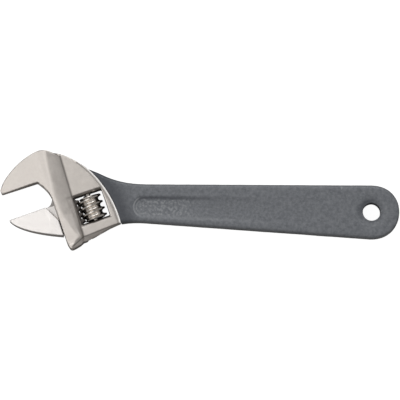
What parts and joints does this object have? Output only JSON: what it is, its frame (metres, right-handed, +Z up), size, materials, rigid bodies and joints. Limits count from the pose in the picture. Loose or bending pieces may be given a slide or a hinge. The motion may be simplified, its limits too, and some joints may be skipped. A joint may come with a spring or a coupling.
{
  "type": "adjustable wrench",
  "caption": "Adjustable wrench: forged body with fixed jaw, sliding jaw driven by a threaded worm in a window, and a dipped grip with a hanging hole.",
  "frame": {"origin": "under the middle of the part's box, on the surface it lies on", "axes": "+X along the handle towards the hanging hole, +Y towards the fixed jaw's side, +Z up through the thickness"},
  "size_m": [0.2064, 0.0506, 0.0136],
  "materials": {
    "satin_nickel_forging": "satin nickel plate over a ground forging",
    "ground_nickel_jaw": "satin nickel plate over ground faces",
    "polished_steel": "polished, nickel plated",
    "spring_steel": "drawn wire",
    "dipped_vinyl": "dipped vinyl with a fine pebbled skin"
  },
  "bodies": {
    "frame": {"body": "satin_nickel_forging", "grip": "dipped_vinyl", "knurl_pin": "polished_steel", "knurl_spring": "spring_steel"},
    "jaw": {"movable_jaw": "ground_nickel_jaw"},
    "worm": {"knurl": "polished_steel"}
  },
  "joints": [
    {"name": "jaw_slide", "type": "slide", "parent": "frame", "child": "jaw", "axis": [-0.3584, 0.9336, 0], "range_m": [-0.01, 0.0137]},
    {"name": "knurl_spin", "type": "hinge", "parent": "frame", "child": "worm", "pos_m": [-0.05562, -0.00335, 0.0068], "axis": [0.3584, -0.9336, 0], "range_deg": [-1045, 1431]}
  ],
  "couplings": [
    {"joint": "knurl_spin", "follows": "jaw_slide", "rad_per_m": 1821.2}
  ]
}
